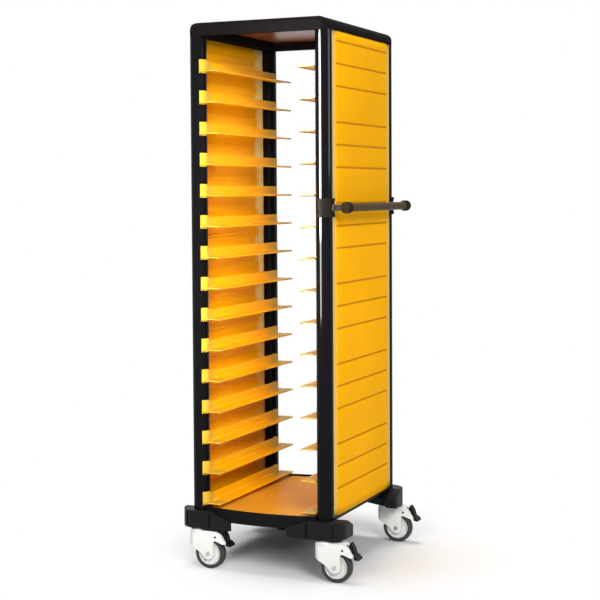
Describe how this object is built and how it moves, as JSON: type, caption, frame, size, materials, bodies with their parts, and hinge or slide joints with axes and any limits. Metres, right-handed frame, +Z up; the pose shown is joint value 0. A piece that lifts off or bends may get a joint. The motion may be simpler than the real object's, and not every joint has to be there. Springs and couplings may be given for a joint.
{
  "type": "meal tray cart",
  "caption": "Tall rolling meal tray cart with closed side walls, open ends, paired tray rails, a roof, a side push handle, corner bumpers and braked swivel casters.",
  "frame": {"origin": "on the ground under the centre of the whole footprint, trailing brake pedals included; the cart's own middle plane lies at X = -28.75 mm", "axes": "+X to the handle side, +Y to the back, +Z up; the open front faces -Y"},
  "size_m": [0.6576, 0.661, 1.854],
  "materials": {
    "yellow_panel": "smooth satin yellow moulded plastic",
    "yellow_lining": "smooth satin yellow moulded plastic",
    "yellow_rail": "smooth satin yellow moulded plastic",
    "deck_panel": "satin orange-brown plastic sheet",
    "black_moulding": "fine-grained semi-gloss black plastic",
    "black_post": "glossy black lacquer on a drawn tube",
    "bumper_moulding": "fine-grained black plastic",
    "handle_tube": "dark grey anodised tube, satin",
    "bracket_moulding": "dark grey-black moulded plastic",
    "handle_caps": "grey moulded plastic",
    "steel": "zinc-plated steel",
    "caster_steel": "zinc-plated steel",
    "caster_moulding": "off-white glass-filled plastic",
    "wheel_core": "white moulded plastic",
    "tyre": "grey non-marking rubber",
    "pedal_moulding": "black moulded plastic"
  },
  "bodies": {
    "cart": {"roof_cap": "black_moulding", "ceiling_panel": "yellow_lining", "base_frame": "black_moulding", "deck_panel": "deck_panel", "front_left_post": "black_post", "front_right_post": "black_post", "rear_left_post": "black_post", "rear_right_post": "black_post", "left_side_panel": "yellow_panel", "right_side_panel": "yellow_panel", "left_lining": "yellow_lining", "right_lining": "yellow_lining", "rail_pair_01": "yellow_rail", "rail_pair_02": "yellow_rail", "rail_pair_03": "yellow_rail", "rail_pair_04": "yellow_rail", "rail_pair_05": "yellow_rail", "rail_pair_06": "yellow_rail", "rail_pair_07": "yellow_rail", "rail_pair_08": "yellow_rail", "rail_pair_09": "yellow_rail", "rail_pair_10": "yellow_rail", "rail_pair_11": "yellow_rail", "rail_pair_12": "yellow_rail", "rail_pair_13": "yellow_rail", "rail_pair_14": "yellow_rail", "rail_pair_15": "yellow_rail", "handle_bar": "handle_tube", "handle_end_caps": "handle_caps", "handle_bracket_screws": "steel", "front_handle_bracket": "bracket_moulding", "rear_handle_bracket": "bracket_moulding", "front_left_bumper": "bumper_moulding", "front_right_bumper": "bumper_moulding", "rear_left_bumper": "bumper_moulding", "rear_right_bumper": "bumper_moulding", "front_left_stem": "caster_steel", "front_right_stem": "caster_steel", "rear_left_stem": "caster_steel", "rear_right_stem": "caster_steel"},
    "front_left_caster": {"front_left_fork": "caster_moulding", "front_left_axle": "steel"},
    "front_left_wheel": {"front_left_wheel_hub": "wheel_core", "front_left_tyre": "tyre"},
    "front_left_brake": {"front_left_brake_pedal": "pedal_moulding"},
    "front_right_caster": {"front_right_fork": "caster_moulding", "front_right_axle": "steel"},
    "front_right_wheel": {"front_right_wheel_hub": "wheel_core", "front_right_tyre": "tyre"},
    "front_right_brake": {"front_right_brake_pedal": "pedal_moulding"},
    "rear_left_caster": {"rear_left_fork": "caster_moulding", "rear_left_axle": "steel"},
    "rear_left_wheel": {"rear_left_wheel_hub": "wheel_core", "rear_left_tyre": "tyre"},
    "rear_left_brake": {"rear_left_brake_pedal": "pedal_moulding"},
    "rear_right_caster": {"rear_right_fork": "caster_moulding", "rear_right_axle": "steel"},
    "rear_right_wheel": {"rear_right_wheel_hub": "wheel_core", "rear_right_tyre": "tyre"},
    "rear_right_brake": {"rear_right_brake_pedal": "pedal_moulding"}
  },
  "joints": [
    {"name": "front_left_swivel", "type": "hinge", "parent": "cart", "child": "front_left_caster", "pos_m": [-0.26175, -0.295, 0.12], "axis": [0, 0, 1], "continuous": true},
    {"name": "front_left_roll", "type": "hinge", "parent": "front_left_caster", "child": "front_left_wheel", "pos_m": [-0.21925, -0.295, 0.053], "axis": [0, 1, 0], "continuous": true},
    {"name": "front_left_brake_press", "type": "hinge", "parent": "front_left_caster", "child": "front_left_brake", "pos_m": [-0.19225, -0.295, 0.112], "axis": [0, 1, 0], "range_deg": [0, 14]},
    {"name": "front_right_swivel", "type": "hinge", "parent": "cart", "child": "front_right_caster", "pos_m": [0.20425, -0.295, 0.12], "axis": [0, 0, 1], "continuous": true},
    {"name": "front_right_roll", "type": "hinge", "parent": "front_right_caster", "child": "front_right_wheel", "pos_m": [0.24675, -0.295, 0.053], "axis": [0, 1, 0], "continuous": true},
    {"name": "front_right_brake_press", "type": "hinge", "parent": "front_right_caster", "child": "front_right_brake", "pos_m": [0.27375, -0.295, 0.112], "axis": [0, 1, 0], "range_deg": [0, 14]},
    {"name": "rear_left_swivel", "type": "hinge", "parent": "cart", "child": "rear_left_caster", "pos_m": [-0.26175, 0.295, 0.12], "axis": [0, 0, 1], "continuous": true},
    {"name": "rear_left_roll", "type": "hinge", "parent": "rear_left_caster", "child": "rear_left_wheel", "pos_m": [-0.21925, 0.295, 0.053], "axis": [0, 1, 0], "continuous": true},
    {"name": "rear_left_brake_press", "type": "hinge", "parent": "rear_left_caster", "child": "rear_left_brake", "pos_m": [-0.19225, 0.295, 0.112], "axis": [0, 1, 0], "range_deg": [0, 14]},
    {"name": "rear_right_swivel", "type": "hinge", "parent": "cart", "child": "rear_right_caster", "pos_m": [0.20425, 0.295, 0.12], "axis": [0, 0, 1], "continuous": true},
    {"name": "rear_right_roll", "type": "hinge", "parent": "rear_right_caster", "child": "rear_right_wheel", "pos_m": [0.24675, 0.295, 0.053], "axis": [0, 1, 0], "continuous": true},
    {"name": "rear_right_brake_press", "type": "hinge", "parent": "rear_right_caster", "child": "rear_right_brake", "pos_m": [0.27375, 0.295, 0.112], "axis": [0, 1, 0], "range_deg": [0, 14]}
  ]
}
